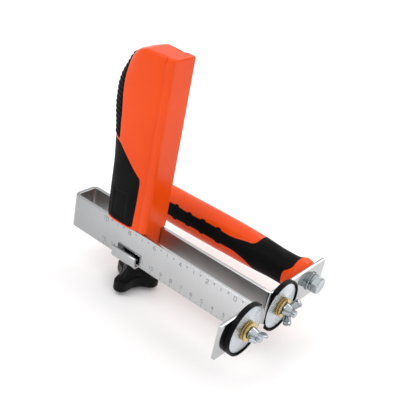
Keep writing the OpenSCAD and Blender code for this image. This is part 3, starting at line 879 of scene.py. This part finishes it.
b_lo, b_hi = box("clamp_bracket")
bx = (b_lo[0] + b_hi[0]) / 2
width = b_hi[0] - b_lo[0]
plate = 2.0
half_y, floor_z, tip_z = b_hi[1] - plate / 2, b_lo[2] + plate / 2, b_hi[2]
bend = 2.3
path = [(-half_y, z) for z in np.linspace(tip_z, floor_z + bend, 8)][:-1]
path += arc(-half_y + bend, floor_z + bend, bend, 180, 270, 9)
path += [(y, floor_z) for y in np.linspace(-half_y + bend, half_y - bend, 12)][1:-1]
path += arc(half_y - bend, floor_z + bend, bend, 270, 360, 9)
path += [(half_y, z) for z in np.linspace(floor_z + bend, tip_z, 8)][1:]
v, f = sweep_flat(path, rounded_section(plate, width, 0.4, 4),
                  lambda flat, up: np.stack([up + bx, flat[:, 0], flat[:, 1]], 1), 0.3)
piece("clamp_bracket_bent", v, f, zinc, "clamp", ["clamp_bracket"], 40)

s_lo, s_hi = box("clamp_screw")
v, f = thread(s_lo[2], s_hi[2], 3.98, 1.25, 0, 0, 48, 0.6)
v = np.array(v)
v = np.column_stack([v[:, 1] + bx, v[:, 2], v[:, 0]])
piece("clamp_screw_m8", v, f, bolt_metal, "knob", ["clamp_screw"], 30)

k_lo, k_hi = box("clamp_knob")
base, top = k_lo[2], k_hi[2]
n = 240
a = np.arange(n) * 2 * math.pi / n
tip, lobe = 15.2, 5.8
turn = math.radians(37)
phi = (a - turn + math.pi / 3) % (2 * math.pi / 3) - math.pi / 3
sin_p = np.abs(np.sin(phi))
edge_r = np.where(sin_p * tip < lobe * 0.995, tip * np.cos(phi) + np.sqrt(np.maximum(lobe**2 - (tip * np.sin(phi)) ** 2, 0)), 0)
side_r = np.where(sin_p > 0.02, (lobe + 1.0) / np.maximum(sin_p + 0.058 * np.cos(phi), 0.02), 1e3)
reach = np.where(edge_r > 0, np.minimum(edge_r, side_r), side_r)
reach = np.minimum(reach, tip + lobe)
reach = (reach**7 + 9.4**7) ** (1 / 7)
reach = np.minimum(reach, tip + lobe)
for _ in range(3):
    reach = (np.roll(reach, 1) + 2 * reach + np.roll(reach, -1)) / 4
hub = 7.0
rings = []


def knob_ring(r, z):
    rings.append(np.stack([bx + r * np.cos(a), r * np.sin(a), z + 0 * a], 1))


slope = (reach - hub) / (tip + lobe - hub)
knob_ring(reach * 0.25, base + 0.5)
knob_ring(np.minimum(reach - 2.4, reach * 0.8), base)
for q in np.linspace(0, 90, 6)[1:]:
    s, c = math.sin(math.radians(q)), math.cos(math.radians(q))
    knob_ring(reach - 1.6 * (1 - s), base + 1.6 * (1 - c))
knob_ring(reach, base + 4.5)
rim_z = base + 8.6 + 1.5 * (1 - slope)
for q in np.linspace(0, 90, 6):
    s, c = math.sin(math.radians(q)), math.cos(math.radians(q))
    knob_ring(reach - 1.7 * (1 - c), rim_z - 1.7 * (1 - s))
for t in np.linspace(0.12, 1, 9):
    r = (reach - 1.7) * (1 - t) + (hub + 1.2) * t
    lift = 5.2 * slope * t**1.5 + 2.0 * t**3
    knob_ring(r, rim_z + lift)
last = rings[-1][:, 2]
for r, dz in ((hub + 0.4, 0.8), (hub, 2.0)):
    knob_ring(np.full(n, r), last + dz)
knob_ring(np.full(n, hub - 0.1), np.full(n, top - 2.0))
for q in np.linspace(15, 90, 5):
    s, c = math.sin(math.radians(q)), math.cos(math.radians(q))
    knob_ring(np.full(n, hub - 0.1 - 1.0 * (1 - c)), np.full(n, top - 1.0 + 1.0 * s))
knob_ring(np.full(n, 4.2), np.full(n, top))
v, f = loft(rings)
piece("clamp_knob_lobed", v, f, hard_black, "knob", ["clamp_knob"], 50)

for name in ("clamp_insert", "rear_handle_insert"):
    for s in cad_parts[name].material_slots:
        s.material = brass

# ---------------------------------------------------------------- floor, light and camera

lo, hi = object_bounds()
floor_z = float(lo[2]) - 0.0035
mesh = bpy.data.meshes.new("floor")
mesh.from_pydata([(-60, -60, floor_z), (60, -60, floor_z), (60, 60, floor_z), (-60, 60, floor_z)], [], [(0, 1, 2, 3)])
floor = bpy.data.objects.new("floor", mesh)
bpy.context.scene.collection.objects.link(floor)
mat, nodes, links, shader = material("floor_paper", (0.9, 0.9, 0.9), rough=0.85, spec=0.1)
paper = noise(nodes, links, coords(nodes, links, (1, 1, 1)), 30, 2)
links.new(two_colors(nodes, links, paper, (0.95, 0.95, 0.95), (0.965, 0.965, 0.965)), shader.inputs["Base Color"])
floor.data.materials.append(mat)
floor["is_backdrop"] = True

world = bpy.data.worlds.new("studio")
bpy.context.scene.world = world
world.use_nodes = True
nodes, links = world.node_tree.nodes, world.node_tree.links
nodes["Background"].inputs["Color"].default_value = (1, 1, 1, 1)
where = nodes.new("ShaderNodeTexCoord")
split = nodes.new("ShaderNodeSeparateXYZ")
links.new(where.outputs["Generated"], split.inputs["Vector"])
links.new(span(nodes, links, split.outputs["Z"], 0.62, 1.25, 0.05, 0.9), nodes["Background"].inputs["Strength"])


def area(name, place, aim, size, power):
    """A soft rectangular light at place, aimed at aim."""
    light = bpy.data.lights.new(name, "AREA")
    light.shape = "RECTANGLE"
    light.size, light.size_y = size
    light.energy = power
    obj = bpy.data.objects.new(name, light)
    obj.location = place
    obj.rotation_mode = "QUATERNION"
    obj.rotation_quaternion = (Vector(aim) - Vector(place)).to_track_quat("-Z", "Y")
    bpy.context.scene.collection.objects.link(obj)
    return obj


middle = (0.09, 0.01, 0.04)
area("key", (-0.25, -0.75, 1.0), middle, (0.5, 0.5), 2.5)
area("side", (1.1, -0.15, 0.6), middle, (0.6, 0.6), 1.2)
area("back", (0.1, 1.0, 0.9), middle, (0.9, 0.5), 3)

camera = bpy.data.cameras.new("camera")
camera.lens = 70.3
camera.sensor_width = 36
cam = bpy.data.objects.new("camera", camera)
look = Vector((0.0994, 0.0168, 0.0482))
azimuth, elevation, roll, distance = math.radians(-56.45), math.radians(28.67), math.radians(11.8), 0.575
back = Vector((math.cos(azimuth) * math.cos(elevation), math.sin(azimuth) * math.cos(elevation), math.sin(elevation)))
cam.rotation_mode = "QUATERNION"
cam.location = look + back * distance
level = (-back).to_track_quat("-Z", "Y")
cam.rotation_quaternion = level @ Matrix.Rotation(roll, 3, "Z").to_quaternion()
bpy.context.scene.collection.objects.link(cam)
bpy.context.scene.camera = cam
bpy.context.scene.view_settings.view_transform = "Standard"
bpy.context.scene.view_settings.look = "None"

lo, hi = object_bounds()
